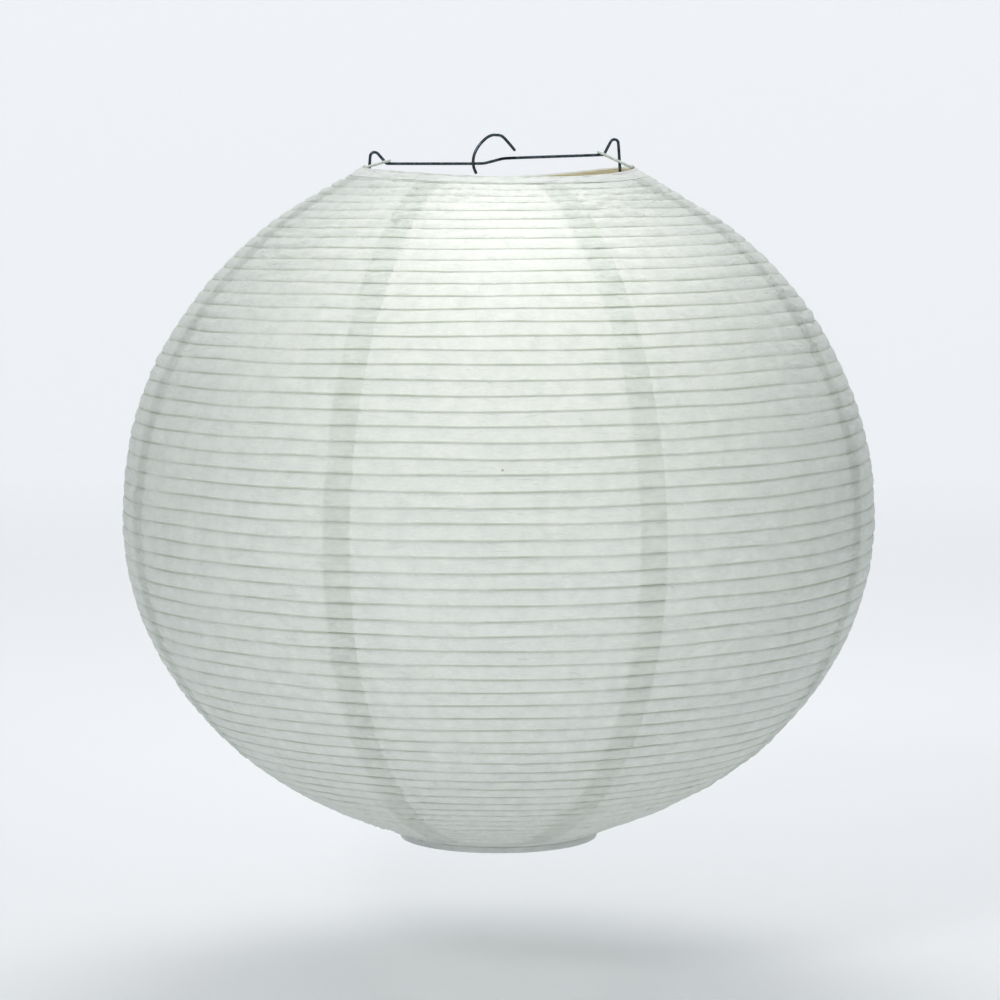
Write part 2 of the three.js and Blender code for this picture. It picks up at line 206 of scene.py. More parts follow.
# %% Seeded noise
seeded = np.random.default_rng(11)
LATTICE = seeded.permutation(256)
GRADIENTS = seeded.normal(size=(256, 3))
GRADIENTS /= np.linalg.norm(GRADIENTS, axis=1)[:, None]


def noise(points):
    """Smooth noise of about -1 to 1 at an array of points, one bump to about one unit."""
    cell = np.floor(points).astype(int)
    inside = points - cell
    fade = inside ** 3 * (inside * (6 * inside - 15) + 10)
    total = np.zeros(len(points))
    for corner in itertools.product((0, 1), repeat=3):
        at = (cell + corner) & 255
        pick = LATTICE[(LATTICE[(LATTICE[at[:, 0]] + at[:, 1]) & 255] + at[:, 2]) & 255]
        weight = np.prod(np.where(corner, fade, 1 - fade), axis=1)
        total += weight * np.einsum("ij,ij->i", GRADIENTS[pick], inside - corner)
    return 1.6 * total


def paper_noise(along, azimuth, across_mm, along_mm, offset=0.0):
    """Noise with bumps so many millimetres long round the lantern and down the paper."""
    radius = np.interp(along, ALONG, RADIUS)
    return noise(np.stack([
        radius * np.cos(azimuth) * per_metre(across_mm) + offset,
        radius * np.sin(azimuth) * per_metre(across_mm) - offset,
        along * per_metre(along_mm) + offset,
    ], axis=1))


# %% [markdown]
# The ears pull the top hoop up where they sit, and it droops between them. On one side the hoop has also
# taken a twist, so its front half dips and its back half stands up. The whole shade is a little out of
# round as well, by less than a millimetre, because the rib is split bamboo and not steel.

# %% A point of the shade
RIM_SADDLE = 3.2 * MM
RIM_TWIST = 2.4 * MM
OUT_OF_ROUND = 0.9 * MM
RIB_WAVER = 0.9 * MM
CALM_EDGE = 40 * MM


def rim_lift(radius, height, azimuth):
    """How far the ears' pull and the hoop's twist lift a point near the top."""
    share = np.maximum(0, (UPPER_CONE_RADIUS - radius) / (UPPER_CONE_RADIUS - TOP_HOOP_MIDDLE))
    twist = RIM_TWIST * np.sin(2 * azimuth) * (1 + np.cos(azimuth)) / 2
    return np.where(height > EQUATOR_Z, share * (RIM_SADDLE * np.cos(2 * azimuth) + twist), 0)


def shade_point(along, azimuth, depth):
    """Points of the shade as an (n, 3) array."""
    inward = np.clip(along / CALM_EDGE, 0, 1) * np.clip((PAPER_LENGTH - along) / CALM_EDGE, 0, 1)
    waver = RIB_WAVER * paper_noise(along, azimuth, 70, 16, 3.3) * inward
    swell = OUT_OF_ROUND * (paper_noise(along, azimuth, 110, 110, 9.1) - 0.5) * inward
    placed = along + waver
    radius = np.interp(placed, ALONG, RADIUS) + np.interp(placed, ALONG, OUTWARD_RADIUS) * (swell - depth)
    height = np.interp(placed, ALONG, HEIGHT) + np.interp(placed, ALONG, OUTWARD_HEIGHT) * (swell - depth)
    height = height + rim_lift(radius, height, azimuth)
    return np.stack([radius * np.cos(azimuth), radius * np.sin(azimuth), height], axis=1)


def along_at_turn(turn):
    """Distance along the paper where the rib has made so many turns."""
    return RIB_MARGIN + (PAPER_LENGTH - 2 * RIB_MARGIN) * turn / RIB_TURNS


BAY = along_at_turn(1) - along_at_turn(0)
print("ribs stand", round(BAY / MM, 2), "mm apart along the paper")

# %% [markdown]
# ## Moving a mesh onto the shade
#
# Each paper piece starts as a flat grid, as a sheet does, and its vertices are then moved to where they
# belong. numpy does the arithmetic for all of them at once, which keeps a dense sheet quick to make.

# %% Mesh helpers
def finished(bm, name, body, material, replaced=()):
    """Makes an object of a bmesh, shades it smooth, and sets it on its body of the frame."""
    mesh = bpy.data.meshes.new(name)
    bm.to_mesh(mesh)
    bm.free()
    mesh.materials.append(material)
    mesh.polygons.foreach_set("use_smooth", [True] * len(mesh.polygons))
    piece = bpy.data.objects.new(name, mesh)
    scene.collection.objects.link(piece)
    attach(piece, body)
    if replaced:
        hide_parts(*replaced)
    print(f"{name}: {len(mesh.vertices)} vertices, {len(mesh.polygons)} faces")
    return piece


def points_of(mesh):
    flat = np.zeros(3 * len(mesh.vertices), np.float32)
    mesh.vertices.foreach_get("co", flat)
    return flat.reshape(-1, 3).astype(float)


def set_points(mesh, points):
    mesh.vertices.foreach_set("co", points.astype(np.float32).ravel())
    mesh.update()


def add_value(mesh, name, values):
    """Writes one number a vertex for a material to read."""
    mesh.attributes.new(name, "FLOAT", "POINT").data.foreach_set("value", values.astype(np.float32))


def add_uv(mesh, across, down):
    """Lays the piece out flat, in metres, so that a pattern follows the paper."""
    corner = np.zeros(len(mesh.loops), int)
    mesh.loops.foreach_get("vertex_index", corner)
    layer = mesh.uv_layers.new(name="paper_flat")
    layer.data.foreach_set("uv", np.stack([across[corner], down[corner]], axis=1).astype(np.float32).ravel())


# %% [markdown]
# ## Washi paper
#
# The shade is washi, a thin paper of long plant fibres. It is matt, lets about a third of the light
# through, and is cloudy where the pulp lay thicker. Loose fibres catch the light, and a few flecks of bark
# are left in it. Where it is glued over the rib it turns greenish and darker, in a line thinner than the
# rib. Real fibres are 0.03 mm wide, which is too fine to show, so they are drawn at about 0.5 mm.
#
# A Principled surface gives the matt face and a Translucent one passes the light on. The pattern reads the
# sheet's own flat layout, so it stays with the paper when the shade folds. Paste fills the pores where two
# leaves lap, so each of the two passes more light there than a single leaf does.

# %% Washi finish
PASTED_SEE_THROUGH = 0.62


def washi_finish(name, tone, see_through, rib_lines):
    material, tree, output = new_finish(name)
    flat = add_node(tree, "ShaderNodeUVMap", {"uv_map": "paper_flat"})

    clouds = add_node(tree, "ShaderNodeTexNoise", inputs={
        "Vector": flat.outputs["UV"], "Scale": per_metre(14), "Detail": 5.0, "Roughness": 0.62,
    })
    cloud_tone = add_node(tree, "ShaderNodeValToRGB", inputs={"Fac": clouds.outputs["Fac"]})
    cloud_tone.color_ramp.elements[0].position = 0.3
    cloud_tone.color_ramp.elements[0].color = hex_colour("#e4e9e6")
    cloud_tone.color_ramp.elements[1].position = 0.7
    cloud_tone.color_ramp.elements[1].color = hex_colour(tone)

    stretched = add_node(tree, "ShaderNodeMapping", inputs={
        "Vector": flat.outputs["UV"], "Rotation": (0, 0, 0.5), "Scale": (1, 9, 1),
    })
    fibres = add_node(tree, "ShaderNodeTexNoise", inputs={
        "Vector": stretched.outputs["Vector"], "Scale": per_metre(5), "Detail": 4.0, "Distortion": 1.6,
    })
    fibre_line = add_node(tree, "ShaderNodeMapRange", {"interpolation_type": "SMOOTHSTEP"}, {
        "Value": fibres.outputs["Fac"], "From Min": 0.56, "From Max": 0.72,
    })
    fibred = add_node(tree, "ShaderNodeMix", {"data_type": "RGBA"}, {
        MIX_FACTOR: fibre_line.outputs["Result"], MIX_FIRST: cloud_tone.outputs["Color"],
        MIX_SECOND: hex_colour("#fbfdfb"),
    })
    colour = fibred.outputs[MIX_RESULT]

    flecks = add_node(tree, "ShaderNodeTexVoronoi", inputs={
        "Vector": flat.outputs["UV"], "Scale": per_metre(26), "Randomness": 1.0,
    })
    chance = add_node(tree, "ShaderNodeSeparateColor", inputs={"Color": flecks.outputs["Color"]})
    size = add_node(tree, "ShaderNodeMapRange", inputs={
        "Value": chance.outputs["Red"], "From Min": 0.8, "From Max": 1.0, "To Min": 0.0, "To Max": 0.036,
    })
    near = add_node(tree, "ShaderNodeMath", {"operation": "LESS_THAN"}, {
        0: flecks.outputs["Distance"], 1: size.outputs["Result"],
    })
    fleck_share = add_node(tree, "ShaderNodeMath", {"operation": "MULTIPLY"}, {0: near.outputs[0], 1: 0.6})
    flecked = add_node(tree, "ShaderNodeMix", {"data_type": "RGBA"}, {
        MIX_FACTOR: fleck_share.outputs[0], MIX_FIRST: colour, MIX_SECOND: hex_colour("#a08a55"),
    })
    colour = flecked.outputs[MIX_RESULT]

    if rib_lines:
        turn = add_node(tree, "ShaderNodeAttribute", {"attribute_name": "rib_turn"})
        from_rib = add_node(tree, "ShaderNodeMath", {"operation": "PINGPONG"}, {
            0: turn.outputs["Fac"], 1: 0.5,
        })
        fade = add_node(tree, "ShaderNodeTexNoise", inputs={
            "Vector": flat.outputs["UV"], "Scale": per_metre(60), "Detail": 2.0,
        })
        strength = add_node(tree, "ShaderNodeMapRange", inputs={
            "Value": fade.outputs["Fac"], "From Min": 0.38, "From Max": 0.62, "To Min": 0.05, "To Max": 0.65,
        })
        line = add_node(tree, "ShaderNodeMapRange", {"interpolation_type": "SMOOTHSTEP"}, {
            "Value": from_rib.outputs[0], "From Min": 0.03, "From Max": 0.095, "To Min": 1.0, "To Max": 0.0,
        })
        tint = add_node(tree, "ShaderNodeMath", {"operation": "MULTIPLY"}, {
            0: line.outputs["Result"], 1: strength.outputs["Result"],
        })
        ribbed = add_node(tree, "ShaderNodeMix", {"data_type": "RGBA"}, {
            MIX_FACTOR: tint.outputs[0], MIX_FIRST: colour, MIX_SECOND: hex_colour("#c2cbb6"),
        })
        lap = add_node(tree, "ShaderNodeAttribute", {"attribute_name": "lap"})
        lapped = add_node(tree, "ShaderNodeMath", {"operation": "MULTIPLY"}, {0: lap.outputs["Fac"], 1: 0.2})
        whiter = add_node(tree, "ShaderNodeMix", {"data_type": "RGBA"}, {
            MIX_FACTOR: lapped.outputs[0], MIX_FIRST: ribbed.outputs[MIX_RESULT],
            MIX_SECOND: hex_colour("#fbfdfc"),
        })
        colour = whiter.outputs[MIX_RESULT]
        pasted = add_node(tree, "ShaderNodeMapRange", inputs={
            "Value": lap.outputs["Fac"], "To Min": see_through, "To Max": PASTED_SEE_THROUGH,
        })
        see_through = pasted.outputs["Result"]

    pulled = add_node(tree, "ShaderNodeMapping", inputs={
        "Vector": flat.outputs["UV"], "Rotation": (0, 0, -0.06), "Scale": (1, 3.2, 1),
    })
    ridges = add_node(tree, "ShaderNodeTexNoise", {"noise_type": "RIDGED_MULTIFRACTAL"}, {
        "Vector": pulled.outputs["Vector"], "Scale": per_metre(11), "Detail": 3.0, "Distortion": 0.7,
    })
    crinkle = add_node(tree, "ShaderNodeBump", inputs={
        "Strength": 1.0, "Distance": 0.8 * MM, "Height": ridges.outputs["Fac"],
    })
    grain = add_node(tree, "ShaderNodeBump", inputs={
        "Strength": 0.35, "Distance": 0.12 * MM, "Height": fibres.outputs["Fac"],
        "Normal": crinkle.outputs["Normal"],
    })
    face = add_node(tree, "ShaderNodeBsdfPrincipled", inputs={
        "Base Color": colour, "Roughness": 0.5, "IOR": 1.45, "Specular IOR Level": 0.5,
        "Sheen Weight": 0.12, "Normal": grain.outputs["Normal"],
    })
    through = add_node(tree, "ShaderNodeBsdfTranslucent", inputs={
        "Color": colour, "Normal": grain.outputs["Normal"],
    })
    paper = add_node(tree, "ShaderNodeMixShader", inputs={
        0: see_through, 1: face.outputs["BSDF"], 2: through.outputs["BSDF"],
    })
    tree.links.new(paper.outputs["Shader"], output.inputs["Surface"])
    return material


shade_washi = washi_finish("washi_shade", "#f2f5f2", 0.36, True)
hem_washi = washi_finish("washi_hem_two_layers", "#f6f8f4", 0.25, False)

# %% [markdown]
# ## Paper gores
#
# Each gore is a long leaf of paper, pasted over the ribs while they are held on a form. Its edge laps over
# the next one by about 18 mm. Between two ribs the paper stands out in a low arch, and it dives to a sharp
# notch at each rib. It dried a little too large, so it is creased: long slanting creases run from rib to rib,
# and shorter crumples gather at the laps and near the openings, where the leaf had to be squeezed in.
#
# The grid's rows follow the spiral, eight to a bay and closest beside the ribs, so that every notch is crisp
# without a dense mesh.

# %% Sizes of the gores
LAP = 18 * MM
GORE_COLUMNS = 76
END_ROWS = 9
BAY_ROWS = (0.0, 0.05, 0.13, 0.27, 0.45, 0.62, 0.78, 0.91)
FULL_BAYS = RIB_TURNS - 1
ARCH = 0.72 * MM
NOTCH_DEPTH = 1.0 * MM
LAP_STEP = 0.35 * MM
EDGE_TRIM = 0.2 * MM
NOTCH_HALF = 0.8 * MM
HELD_BY_RIB = 1.6 * MM
SEAM_GATHER = 22 * MM
TOP_GATHER = 70 * MM
BOTTOM_GATHER = 45 * MM


def row_turns():
    """For each row of a gore: which part of it the row is in, and its rib turn or its share of an end."""
    top = [("top", i / END_ROWS) for i in range(END_ROWS)]
    bays = [("bay", bay + share) for bay in range(FULL_BAYS) for share in BAY_ROWS]
    bottom = [("bottom", i / END_ROWS) for i in range(END_ROWS + 1)]
    return top + bays + bottom


ROWS = row_turns()
ROW_PART = np.array([part for part, _ in ROWS])
ROW_VALUE = np.array([value for _, value in ROWS])
TOP_TURN = -RIB_MARGIN / BAY
BOTTOM_TURN = RIB_TURNS + RIB_MARGIN / BAY


# %% The arch and the creases
def paper_relief(along, azimuth, turn, seam_distance):
    """How far the paper lies inside the shade's outer surface: notches at the ribs, arches and creases."""
    has_rib = (turn > -0.5) & (turn < FULL_BAYS + 0.5)
    share = turn - np.floor(turn)
    arch = np.where((turn < 0) | (turn > FULL_BAYS), 0.55, (4 * share * (1 - share)) ** 0.62)
    from_rib = np.abs(turn - np.clip(np.round(turn), 0, FULL_BAYS)) * BAY
    notch = np.exp(-(from_rib / NOTCH_HALF) ** 2) * has_rib
    fullness = 0.82 + 0.3 * paper_noise(along, azimuth, 45, 9, 5.0)
    depth = NOTCH_DEPTH - ARCH * arch * fullness * (1 - 0.25 * notch)

    bay_shift = np.floor(turn) * 7.31
    warp = 5 * MM * paper_noise(along, azimuth, 38, 30, 2.2)
    long_crease = 1 - 2.2 * np.abs(paper_noise(along + warp, azimuth, 26, 4.2, 1.7 + bay_shift))
    crumple = 1 - 2.4 * np.abs(paper_noise(along, azimuth, 7.5, 5.0, 4.4 + bay_shift))
    slant = paper_noise(along, azimuth, 15, 9, 8.8 + bay_shift)

    near_seam = np.exp(-(seam_distance / SEAM_GATHER) ** 2)
    near_top = np.exp(-(along / TOP_GATHER) ** 2)
    near_bottom = np.exp(-((PAPER_LENGTH - along) / BOTTOM_GATHER) ** 2)
    gathered = np.clip(near_seam + 0.8 * near_top + 0.6 * near_bottom, 0, 1)
    patch = np.clip(0.55 + 0.9 * paper_noise(along, azimuth, 60, 40, 6.6), 0.1, 1.2)
    held = np.clip(from_rib / HELD_BY_RIB, 0, 1)
    crease = MM * patch * (
        (0.62 + 0.3 * gathered) * long_crease + (0.26 + 0.6 * gathered) * crumple + 0.4 * slant
    )
    return depth - held * crease


# %% One gore
def gore(number):
    """A leaf of paper from its free edge to the end of its lap, which lies under the gore before it."""
    bm = bmesh.new()
    bmesh.ops.create_grid(bm, x_segments=GORE_COLUMNS, y_segments=len(ROWS) - 1, size=1.0)
    name = f"paper_gore_{number}"
    piece = finished(bm, f"washi_gore_{number}", "shade", shade_washi, [name])
    mesh = piece.data
    grid = points_of(mesh)
    column = (grid[:, 0] + 1) / 2
    row = np.rint((1 - grid[:, 1]) / 2 * (len(ROWS) - 1)).astype(int)

    start = FIRST_SEAM + (number - 1) * GORE_ANGLE
    radius_guess = np.interp(np.linspace(0, PAPER_LENGTH, len(ROWS)), ALONG, RADIUS)[row]
    lap_angle = np.minimum(LAP / radius_guess, 0.3 * GORE_ANGLE)
    low = start - lap_angle
    high = start + GORE_ANGLE - EDGE_TRIM / radius_guess
    azimuth = low + (high - low) * column

    ahead = (FIRST_SEAM - azimuth) / TURN + 1
    rib_turn = np.where(ROW_PART[row] == "bay", ROW_VALUE[row], 0.0)
    top_turn = TOP_TURN - ahead
    bottom_turn = BOTTOM_TURN - ahead
    rib_turn = np.where(ROW_PART[row] == "top", top_turn + (0 - top_turn) * ROW_VALUE[row], rib_turn)
    rib_turn = np.where(
        ROW_PART[row] == "bottom", FULL_BAYS + (bottom_turn - FULL_BAYS) * ROW_VALUE[row], rib_turn,
    )
    along = np.clip(along_at_turn(rib_turn + ahead), 0, PAPER_LENGTH)

    from_start = (azimuth - start) * radius_guess
    from_end = (start + GORE_ANGLE - azimuth) * radius_guess
    seam_distance = np.minimum(np.abs(from_start), np.abs(from_end))
    under = np.clip((1.5 * MM - from_start) / (3 * MM), 0, 1)
    depth = paper_relief(along, azimuth, rib_turn, seam_distance) + LAP_STEP * under
    set_points(mesh, shade_point(along, azimuth, depth))

    covered = np.clip((LAP - from_end) / (1.5 * MM), 0, 1)
    add_value(mesh, "lap", np.maximum(covered, under))
    add_value(mesh, "rib_turn", rib_turn)
    across = (azimuth - start) * SHADE_RADIUS + number * 0.5
    add_uv(mesh, across, along)

    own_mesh(piece)
    return piece


for number in range(1, GORE_COUNT + 1):
    gore(number)

# %% [markdown]
# ## The spiral rib
#
# The rib is one long strip of split bamboo wound on a form from hoop to hoop, 59 turns of it. A screw is a
# ring drawn round and down its axis, so a screw modifier on a small ring of vertices makes the whole rib as an
# even coil, far quicker than five thousand spun steps. Each vertex then says how far round the coil it is,
# and moves to that place inside the paper.

# %% Split bamboo finish
def bamboo_finish(name, pale, deep, gloss):
    """Split bamboo: straight pale fibres along the strip, a satin skin, and a darker line here and there."""
    material, tree, output = new_finish(name)
    place = add_node(tree, "ShaderNodeTexCoord")
    parts = add_node(tree, "ShaderNodeSeparateXYZ", inputs={"Vector": place.outputs["Object"]})
    angle = add_node(tree, "ShaderNodeMath", {"operation": "ARCTAN2"}, {
        0: parts.outputs["Y"], 1: parts.outputs["X"],
    })
    across = add_node(tree, "ShaderNodeVectorMath", {"operation": "LENGTH"}, {
        0: add_node(tree, "ShaderNodeCombineXYZ", inputs={
            "X": parts.outputs["X"], "Y": parts.outputs["Y"],
        }).outputs["Vector"],
    })
    strip = add_node(tree, "ShaderNodeCombineXYZ", inputs={
        "X": angle.outputs[0], "Y": across.outputs["Value"], "Z": parts.outputs["Z"],
    })
    stretched = add_node(tree, "ShaderNodeMapping", inputs={
        "Vector": strip.outputs["Vector"], "Scale": (4.0, per_metre(0.7), per_metre(0.7)),
    })
    fibres = add_node(tree, "ShaderNodeTexNoise", inputs={
        "Vector": stretched.outputs["Vector"], "Scale": 1.0, "Detail": 5.0, "Roughness": 0.6,
    })
    colour = add_node(tree, "ShaderNodeValToRGB", inputs={"Fac": fibres.outputs["Fac"]})
    colour.color_ramp.elements[0].position = 0.32
    colour.color_ramp.elements[0].color = hex_colour(deep)
    colour.color_ramp.elements[1].position = 0.62
    colour.color_ramp.elements[1].color = hex_colour(pale)
    rough = add_node(tree, "ShaderNodeMapRange", inputs={
        "Value": fibres.outputs["Fac"], "To Min": gloss + 0.12, "To Max": gloss - 0.06,
    })
    grain = add_node(tree, "ShaderNodeBump", inputs={
        "Strength": 0.5, "Distance": 0.15 * MM, "Height": fibres.outputs["Fac"],
    })
    surface = add_node(tree, "ShaderNodeBsdfPrincipled", inputs={
        "Base Color": colour.outputs["Color"], "Roughness": rough.outputs["Result"], "IOR": 1.5,
        "Normal": grain.outputs["Normal"],
    })
    tree.links.new(surface.outputs["BSDF"], output.inputs["Surface"])
    return material


rib_bamboo = bamboo_finish("split_bamboo_rib", "#cfd0ad", "#a3a47c", 0.5)
hoop_bamboo = bamboo_finish("split_bamboo_hoop", "#ded5b6", "#b39f6e", 0.45)

# %% The rib
RIB_STEPS = 96
RIB_SIDES = 6
COIL_RADIUS = 10.0
COIL_RISE = 6.0


def coil():
    """An even coil of ring sections about Z, going down clockwise seen from above."""
    bm = bmesh.new()
    section = Matrix.Translation((COIL_RADIUS, 0, 0)) @ Matrix.Rotation(math.pi / 2, 4, "X")
    bmesh.ops.create_circle(bm, cap_ends=False, segments=RIB_SIDES, radius=1.0, matrix=section)
    mesh = bpy.data.meshes.new("rib_section")
    bm.to_mesh(mesh)
    bm.free()
    maker = bpy.data.objects.new("rib_section", mesh)
    scene.collection.objects.link(maker)
    screw = maker.modifiers.new("coil", "SCREW")
    screw.axis = "Z"
    screw.angle = -TURN
    screw.screw_offset = -COIL_RISE
    screw.iterations = RIB_TURNS
    screw.steps = RIB_STEPS
    screw.render_steps = RIB_STEPS
    bm = bmesh.new()
    bm.from_object(maker, bpy.context.evaluated_depsgraph_get())
    bpy.data.objects.remove(maker)
    bmesh.ops.remove_doubles(bm, verts=bm.verts, dist=0.01)
    bmesh.ops.holes_fill(bm, edges=[edge for edge in bm.edges if edge.is_boundary], sides=0)
    bmesh.ops.recalc_face_normals(bm, faces=bm.faces)
    return bm


def rib():
    """The coil, with each vertex moved turn by turn to its place inside the paper."""
    piece = finished(coil(), "bamboo_rib_spiral", "shade", rib_bamboo, ["rib_spiral"])
    wound = points_of(piece.data)
    part_turn = (-np.arctan2(wound[:, 1], wound[:, 0]) / TURN) % 1
    whole = np.rint(-wound[:, 2] / COIL_RISE - part_turn)
    turn = np.clip(whole + part_turn, 0, RIB_TURNS)
    out = np.hypot(wound[:, 0], wound[:, 1]) - COIL_RADIUS
    up = wound[:, 2] + turn * COIL_RISE
    azimuth = FIRST_SEAM - turn * TURN
    along = along_at_turn(turn) - up * RIB_SECTION
    set_points(piece.data, shade_point(along, azimuth, RIB_DEPTH - out * RIB_SECTION))
    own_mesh(piece)
    return piece


rib()

# %% [markdown]
# ## Hoops
#
# A hoop is a flat strip of bamboo bent into a ring, with its corners rubbed round. Its section is spun once
# about the axis, and the top hoop is then pulled out of flat by the same lift that shapes the paper.

# %% Hoops
HOOP_STEPS = 180
HOOP_SIDES = 20


def squared(share):
    """Pushes a share of -1 to 1 out towards its ends, which turns a circle into a rounded square."""
    return math.copysign(abs(share) ** 0.4, share)


def hoop(name, node, body, inner, top, warped):
    bm = bmesh.new()
    section = bmesh.ops.create_circle(bm, cap_ends=False, segments=HOOP_SIDES, radius=1.0)["verts"]
    for vert in section:
        across = inner + HOOP_THICKNESS / 2 * (1 + squared(vert.co.x))
        vert.co = (across, 0, top - HOOP_HEIGHT / 2 * (1 - squared(vert.co.y)))
    bmesh.ops.spin(bm, geom=list(bm.verts) + list(bm.edges), cent=(0, 0, 0), axis=(0, 0, 1), dvec=(0, 0, 0),
                   angle=TURN, steps=HOOP_STEPS, use_merge=True, use_duplicate=False)
    bmesh.ops.remove_doubles(bm, verts=bm.verts, dist=0.01 * MM)
    bmesh.ops.recalc_face_normals(bm, faces=bm.faces)
    piece = finished(bm, name, body, hoop_bamboo, [node])
    if warped:
        points = points_of(piece.data)
        azimuth = np.arctan2(points[:, 1], points[:, 0])
        points[:, 2] += rim_lift(np.hypot(points[:, 0], points[:, 1]), points[:, 2], azimuth)
        set_points(piece.data, points)
    return piece


TOP_HOOP_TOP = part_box("top_hoop")[1].z - RIM_SADDLE
BOTTOM_HOOP_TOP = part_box("bottom_hoop")[1].z
hoop("bamboo_top_hoop", "top_hoop", "shade", TOP_HOOP_INNER, TOP_HOOP_TOP, True)
hoop("bamboo_bottom_hoop", "bottom_hoop", "bottom_rim", BOTTOM_HOOP_INNER, BOTTOM_HOOP_TOP, False)

# %% [markdown]
# ## Hems
#
# A strip of paper binds each opening. It is pasted down over the gores, turned over their free edges, and
# tucked in against the hoop. Where an ear is tied on, the tuck stays clear of the thread. The strip is a
# grid again, wrapped round the opening by a list of the few places that its section passes through.

# %% Sizes and tools of the hems
HEM_COLUMNS = 620
HEM_LIFT = 0.35 * MM
HEM_RUNS = [9, 7.5, 6, 4.5, 3, 1.5, 0.4]
HEM_START = math.radians(-128)
HEM_END_LAP = 8 * MM
HEM_RAGGED = 0.06


def round_noise(azimuth, bumps, offset):
    """Noise that closes on itself round the lantern, with about so many bumps in one turn."""
    reach = bumps / TURN
    return noise(np.stack([
        reach * np.cos(azimuth) + offset, reach * np.sin(azimuth) + offset, 0 * azimuth + offset,
    ], axis=1))


def ring_row(azimuth, radius, height):
    return np.stack([radius * np.cos(azimuth), radius * np.sin(azimuth), height + 0 * azimuth], axis=1)


def paper_relief_at(along, azimuth):
    """The relief at any place, with the rib turn and the nearest seam worked out from it."""
    ahead = (FIRST_SEAM - azimuth) / TURN % 1
    turn = (along - along_at_turn(0)) / BAY - ahead
    from_seam = (azimuth - FIRST_SEAM + GORE_ANGLE / 2) % GORE_ANGLE - GORE_ANGLE / 2
    return paper_relief(along, azimuth, turn, np.abs(from_seam) * np.interp(along, ALONG, RADIUS))


def pasted_rows(azimuth, lift, from_top):
    """The rows of a hem that lie on the gores, from its pasted edge to the gores' free edge."""
    rows = []
    for run in HEM_RUNS:
        inward = run * MM * (1 + HEM_RAGGED * round_noise(azimuth, 46, 2.5))
        along = inward if from_top else PAPER_LENGTH - inward
        rows.append(shade_point(along, azimuth, paper_relief_at(along, azimuth) - HEM_LIFT - lift))
    return rows


def strip(name, body, path, edge_radius, replaced):
    """A strip of paper round an opening. path(azimuth, lift) gives its rows from the top one down."""
    lap = HEM_END_LAP / edge_radius
    bm = bmesh.new()
    steps = len(path(np.zeros(1), 0)) - 1
    bmesh.ops.create_grid(bm, x_segments=HEM_COLUMNS, y_segments=steps, size=1.0)
    piece = finished(bm, name, body, hem_washi, replaced)
    grid = points_of(piece.data)
    azimuth = HEM_START + (grid[:, 0] + 1) / 2 * (TURN + lap)
    row = np.rint((1 - grid[:, 1]) / 2 * steps).astype(int)
    lift = HEM_LIFT * np.clip((azimuth - HEM_START - TURN) / (0.25 * lap), 0, 1)
    rows = np.array(path(azimuth, lift))
    set_points(piece.data, rows[row, np.arange(len(row))])
    add_uv(piece.data, azimuth * edge_radius, row * 1.5 * MM)
    return piece


# %% The top hem
TUCK_CLEAR = 0.1 * MM
TIE_CLEAR = 1.1 * MM
TIE_REACH = 8 * MM


def top_hem_rows(azimuth, lift):
    at_ear = np.exp(-(np.sin(azimuth) * TOP_HOOP_MIDDLE / TIE_REACH) ** 4)
    tuck = TOP_HOOP_INNER + HOOP_THICKNESS + TUCK_CLEAR + TIE_CLEAR * at_ear
    crimp = 0.25 * MM * round_noise(azimuth, 160, 5.1)
    rows = pasted_rows(azimuth, lift, True)
    for share, drop in ((0, -0.3), (0.18, -0.5), (0.5, -0.3), (0.85, 0.15), (1, 0.8), (1, 2.1), (1, 3.4)):
        radius = TOP_PAPER_RADIUS + (tuck - TOP_PAPER_RADIUS) * share + 0.2 * crimp
        height = TOP_PAPER_Z - drop * MM + 0.6 * crimp + lift * (1 - share)
        rows.append(ring_row(azimuth, radius, height + rim_lift(radius, height, azimuth)))
    return rows[::-1]


top_hem = strip("washi_top_hem", "shade", top_hem_rows, TOP_PAPER_RADIUS, ["top_hem_band"])
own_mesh(top_hem)

# %% [markdown]
# The bottom hem is the same strip, but it is made as two pieces, because the shade folds. The part pasted to
# the gores is set on the shade's body with them, and the part round the hoop is set on the bottom rim's body
# and rises with the hoop. The second part is a band of paper with its own thickness, spun as one closed ring,
# because it is too narrow to fold.

# %% The bottom hem
SKIRT_SIDES = 14
SKIRT_THICKNESS = 0.45 * MM


def bottom_hem_rows(azimuth, lift):
    rows = pasted_rows(azimuth, lift, False)
    for inward, rise in ((0.15, -0.3), (0.6, -0.4), (1.0, -0.55), (1.1, -1.3)):
        rows.append(ring_row(azimuth, BOTTOM_PAPER_RADIUS - inward * MM, BOTTOM_PAPER_Z + rise * MM))
    return rows


bottom_hem = strip("washi_bottom_hem", "shade", bottom_hem_rows, BOTTOM_PAPER_RADIUS, [])
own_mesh(bottom_hem)


